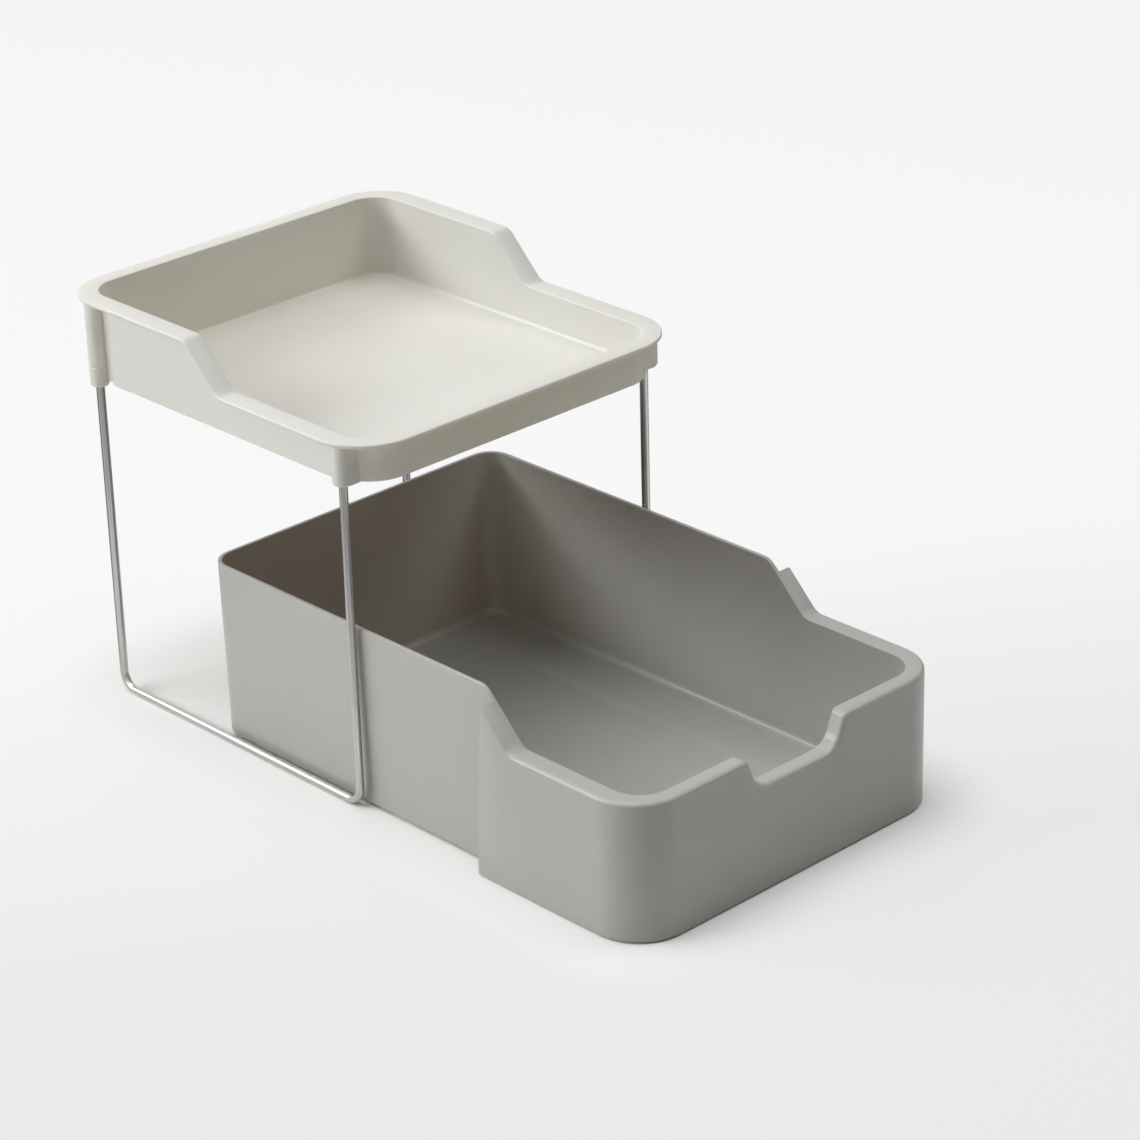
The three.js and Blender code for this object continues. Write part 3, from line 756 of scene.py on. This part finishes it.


# To the camera and in the wires the floor shows as white, but less so near the organizer, where it keeps
# its shadow, and not under the drawer. To the camera this white carries a painted shade, greyer towards the
# camera;
# in the wires it carries painted dark reflections, darker towards the rear and towards the camera's side.
contact_inset = 0.5 * mm
drawer_middle = (0, (drawer_front + drawer_rear) / 2)
drawer_half = (cover_half - contact_inset, (drawer_rear - drawer_front) / 2 - contact_inset)
organizer_half = (94 * mm, 186 * mm)
footprint_round = 25 * mm
rays = node(tree, "ShaderNodeLightPath")
shown = node(tree, "ShaderNodeMath", operation="MAXIMUM")
share = node(tree, "ShaderNodeMath", operation="MULTIPLY")
clear_of_drawer = node(tree, "ShaderNodeMath", operation="MULTIPLY")
contact = node(tree, "ShaderNodeMapRange", From_Min=-1 * mm, From_Max=1 * mm)
clean = node(tree, "ShaderNodeMapRange", From_Min=0.0, From_Max=0.04, To_Min=0.1, To_Max=0.88)
distant = node(tree, "ShaderNodeMapRange", From_Min=0.4, From_Max=2.0)
clean_or_distant = node(tree, "ShaderNodeMath", operation="MAXIMUM")
# painted shade: the floor's shown white turns greyer towards the camera
painted_front_shade = node(tree, "ShaderNodeMapRange", From_Min=-0.15, From_Max=0.15, To_Min=0.81, To_Max=0.935)
distant_white = node(tree, "ShaderNodeMath", operation="MULTIPLY")
distant_white.inputs[1].default_value = 0.93
plain_white = node(tree, "ShaderNodeMath", operation="MAXIMUM")
# painted reflections: to glossy rays the floor is dimmed towards the rear and towards the camera's side, so
# the wires show dark lines
rearward = node(tree, "ShaderNodeVectorMath", operation="DOT_PRODUCT")
rearward.inputs[1].default_value = (0.5, 0.85, 0)
mirrored = node(tree, "ShaderNodeMapRange", From_Min=0.05, From_Max=0.2, To_Min=1.0, To_Max=0.1)
to_camera = node(tree, "ShaderNodeVectorMath", operation="DOT_PRODUCT")
to_camera.inputs[1].default_value = (-0.83, -0.55, 0)
dim_front = node(tree, "ShaderNodeMapRange", From_Min=0.14, From_Max=0.28, To_Min=1.0, To_Max=0.42)
painted_reflection = node(tree, "ShaderNodeMath", operation="MULTIPLY")
brightness = node(tree, "ShaderNodeMix", data_type="FLOAT")
white = node(tree, "ShaderNodeEmission", Strength=1.0)
either = node(tree, "ShaderNodeMixShader")
from_organizer = outside((0, 0), organizer_half, footprint_round)
tree.links.new(from_organizer, clean.inputs["Value"])
tree.links.new(from_organizer, distant.inputs["Value"])
tree.links.new(clean.outputs["Result"], clean_or_distant.inputs[0])
tree.links.new(distant.outputs["Result"], clean_or_distant.inputs[1])
tree.links.new(outside(drawer_middle, drawer_half, footprint_round), contact.inputs["Value"])
tree.links.new(clean_or_distant.outputs["Value"], clear_of_drawer.inputs[0])
tree.links.new(contact.outputs["Result"], clear_of_drawer.inputs[1])
tree.links.new(spot.outputs["Object"], rearward.inputs[0])
tree.links.new(rearward.outputs["Value"], mirrored.inputs["Value"])
tree.links.new(rearward.outputs["Value"], painted_front_shade.inputs["Value"])
tree.links.new(distant.outputs["Result"], distant_white.inputs[0])
tree.links.new(painted_front_shade.outputs["Result"], plain_white.inputs[0])
tree.links.new(distant_white.outputs["Value"], plain_white.inputs[1])
tree.links.new(plain_white.outputs["Value"], brightness.inputs["A"])
tree.links.new(rays.outputs["Is Glossy Ray"], brightness.inputs["Factor"])
tree.links.new(spot.outputs["Object"], to_camera.inputs[0])
tree.links.new(to_camera.outputs["Value"], dim_front.inputs["Value"])
tree.links.new(mirrored.outputs["Result"], painted_reflection.inputs[0])
tree.links.new(dim_front.outputs["Result"], painted_reflection.inputs[1])
tree.links.new(painted_reflection.outputs["Value"], brightness.inputs["B"])
tree.links.new(brightness.outputs["Result"], white.inputs["Color"])
tree.links.new(rays.outputs["Is Camera Ray"], shown.inputs[0])
tree.links.new(rays.outputs["Is Glossy Ray"], shown.inputs[1])
tree.links.new(shown.outputs["Value"], share.inputs[0])
tree.links.new(clear_of_drawer.outputs["Value"], share.inputs[1])
tree.links.new(shown.outputs["Value"], paper_colour.inputs["Factor"])
tree.links.new(share.outputs["Value"], either.inputs["Fac"])
tree.links.new(shader.outputs["BSDF"], either.inputs[1])
tree.links.new(white.outputs["Emission"], either.inputs[2])
tree.links.new(either.outputs["Shader"], tree.nodes["Material Output"].inputs["Surface"])
floor.data.materials.append(paper)
floor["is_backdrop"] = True

# The surroundings give almost no light. They are white to the camera and, upwards, in the wires.
world = bpy.data.worlds.new("white_room")
bpy.context.scene.world = world
world.use_nodes = True
tree = world.node_tree
backdrop = tree.nodes["Background"]
backdrop.inputs["Color"].default_value = (1.0, 0.995, 0.985, 1)
rays = node(tree, "ShaderNodeLightPath")
towards = node(tree, "ShaderNodeTexCoord")
upward = node(tree, "ShaderNodeVectorMath", operation="DOT_PRODUCT")
upward.inputs[1].default_value = (0, 0.1, 0.995)
upward_behind = node(tree, "ShaderNodeVectorMath", operation="DOT_PRODUCT")
upward_behind.inputs[1].default_value = (-0.1, 0.4, 0.91)
room = node(tree, "ShaderNodeMapRange", From_Min=0.0, From_Max=1.0, To_Min=0.01, To_Max=0.02)
mirrored = node(tree, "ShaderNodeMapRange", From_Min=-0.2, From_Max=0.5, To_Min=0.4, To_Max=1.0)
lit = node(tree, "ShaderNodeMix", data_type="FLOAT")
strength = node(tree, "ShaderNodeMix", data_type="FLOAT")
strength.inputs["B"].default_value = 0.93
tree.links.new(towards.outputs["Generated"], upward.inputs[0])
tree.links.new(towards.outputs["Generated"], upward_behind.inputs[0])
tree.links.new(upward.outputs["Value"], room.inputs["Value"])
tree.links.new(upward_behind.outputs["Value"], mirrored.inputs["Value"])
tree.links.new(rays.outputs["Is Glossy Ray"], lit.inputs["Factor"])
tree.links.new(room.outputs["Result"], lit.inputs["A"])
tree.links.new(mirrored.outputs["Result"], lit.inputs["B"])
tree.links.new(rays.outputs["Is Camera Ray"], strength.inputs["Factor"])
tree.links.new(lit.outputs["Result"], strength.inputs["A"])
tree.links.new(strength.outputs["Result"], backdrop.inputs["Strength"])

lamps_aim = Vector((0, 0, 80 * mm))


def softbox(name, place, width, height, power):
    """A large soft light that faces the organizer."""
    lamp = bpy.data.lights.new(name, "AREA")
    lamp.shape = "RECTANGLE"
    lamp.size = width
    lamp.size_y = height
    lamp.energy = power
    stand = bpy.data.objects.new(name, lamp)
    bpy.context.scene.collection.objects.link(stand)
    stand.location = place
    stand.rotation_euler = (lamps_aim - stand.location).to_track_quat("-Z", "Y").to_euler()


softbox("key_softbox", place=(-1.75, 1.65, 1.35), width=2.0, height=0.9, power=49)
softbox("left_softbox", place=(-2.0, 0.6, 0.9), width=1.6, height=0.8, power=6)
softbox("top_softbox", place=(-0.2, 0.3, 2.4), width=2.0, height=2.0, power=35)
softbox("front_softbox", place=(1.0, -0.8, 1.9), width=1.0, height=1.0, power=12)

# The camera stands at the front left, a little above, with a long lens.
view = bpy.data.cameras.new("camera")
view.sensor_width = 36
view.lens = 118.31
camera = bpy.data.objects.new("camera", view)
bpy.context.scene.collection.objects.link(camera)
camera_place = Vector((-1.0460, -1.16303, 0.81692))
camera_right = Vector((0.72102, -0.69246, -0.02515))
camera_up = Vector((0.30999, 0.28990, 0.90547))
camera_forward = Vector((0.61971, 0.66065, -0.42367))
camera.matrix_world = Matrix.Translation(camera_place) @ Matrix(
    (camera_right, camera_up, -camera_forward)).transposed().to_4x4()
bpy.context.scene.camera = camera
bpy.context.scene.view_settings.view_transform = "Standard"

low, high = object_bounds()
